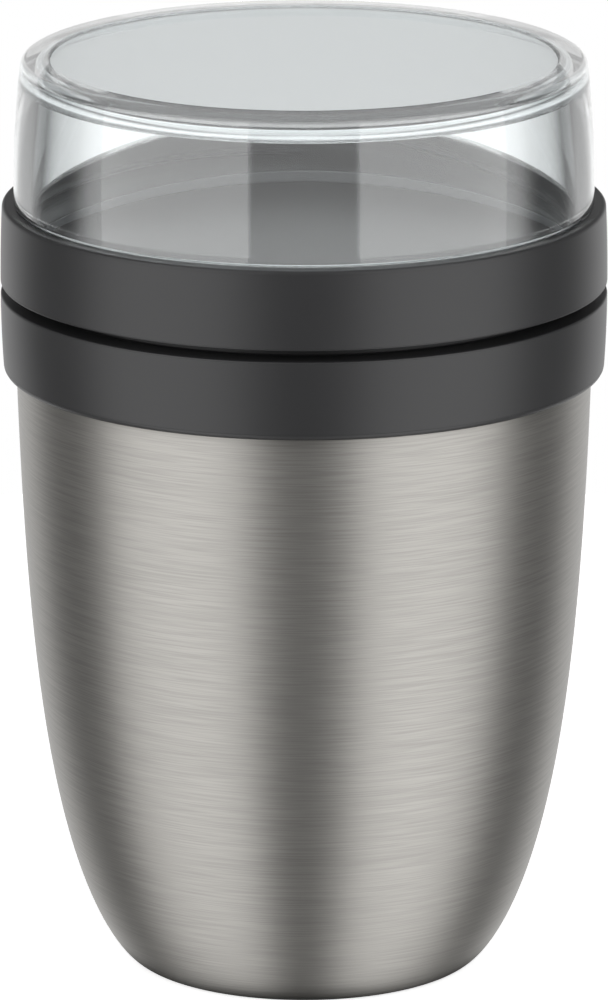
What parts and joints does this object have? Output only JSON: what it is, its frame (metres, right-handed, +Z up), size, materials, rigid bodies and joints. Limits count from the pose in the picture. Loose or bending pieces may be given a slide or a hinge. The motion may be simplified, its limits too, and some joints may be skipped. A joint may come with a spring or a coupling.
{
  "type": "insulated lunch pot",
  "caption": "Insulated lunch pot: double-walled brushed steel pot with a dark collar, a dark screw lid and a thick clear cup that screws upside down into the lid.",
  "frame": {"origin": "centre of the flat foot, on the surface the pot stands on", "axes": "+Z up along the pot's axis; the pot is round, so +X and +Y are free"},
  "size_m": [0.107, 0.107, 0.164],
  "materials": {
    "brushed_steel": "fine brush marks round the pot",
    "bright_steel": "satin, as drawn",
    "charcoal_plastic": "satin moulded",
    "clear_plastic": "polished clear",
    "silicone": "soft matte",
    "foam": "open cell",
    "foil": "bright foil",
    "solder_glass": "fused bead",
    "getter_metal": "sintered"
  },
  "bodies": {
    "pot": {"outer_shell": "brushed_steel", "outer_bottom": "bright_steel", "vacuum_bead": "solder_glass", "base_cover": "brushed_steel", "getter_pill": "getter_metal", "inner_liner": "bright_steel", "radiation_foil": "foil", "collar_gasket": "silicone", "collar": "charcoal_plastic"},
    "lid_seal_ring": {"lid_seal": "silicone"},
    "lid": {"lid_body": "charcoal_plastic", "lid_plug": "charcoal_plastic", "lid_foam": "foam"},
    "cup_seal_ring": {"cup_seal": "silicone"},
    "cup": {"clear_cup": "clear_plastic"}
  },
  "joints": [
    {"name": "lid_rise", "type": "slide", "parent": "pot", "child": "lid_seal_ring", "axis": [0, 0, 1], "range_m": [0, 0.012]},
    {"name": "lid_turn", "type": "hinge", "parent": "lid_seal_ring", "child": "lid", "pos_m": [0, 0, 0.124], "axis": [0, 0, 1], "range_deg": [0, 360]},
    {"name": "cup_rise", "type": "slide", "parent": "lid", "child": "cup_seal_ring", "axis": [0, 0, 1], "range_m": [0, 0.012]},
    {"name": "cup_turn", "type": "hinge", "parent": "cup_seal_ring", "child": "cup", "pos_m": [0, 0, 0.1379], "axis": [0, 0, 1], "range_deg": [0, 360]}
  ],
  "couplings": [
    {"joint": "lid_rise", "follows": "lid_turn", "m_per_rad": 0.0019099},
    {"joint": "cup_rise", "follows": "cup_turn", "m_per_rad": 0.0019099}
  ]
}
